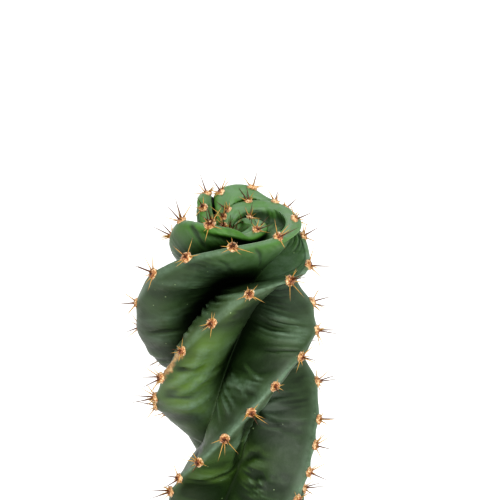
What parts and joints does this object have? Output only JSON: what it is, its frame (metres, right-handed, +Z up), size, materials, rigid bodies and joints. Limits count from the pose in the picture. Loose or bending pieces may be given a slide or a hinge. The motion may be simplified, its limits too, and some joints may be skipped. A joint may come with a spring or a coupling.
{
  "type": "potted spiral cactus",
  "caption": "Columnar cactus with twisting ribs, woolly spine cushions and short spines, standing in gritty soil in a plain tapered clay pot.",
  "frame": {"origin": "on the ground, under the middle of the pot", "axes": "+Z up along the stem; the pictured side faces -Y, with +X to its right"},
  "size_m": [0.13, 0.13, 0.3429],
  "materials": {
    "clay": "matte",
    "soil": "matte",
    "skin": "satin"
  },
  "bodies": {
    "root": {"pot": "clay", "soil": "soil", "stem": "skin"}
  },
  "joints": []
}
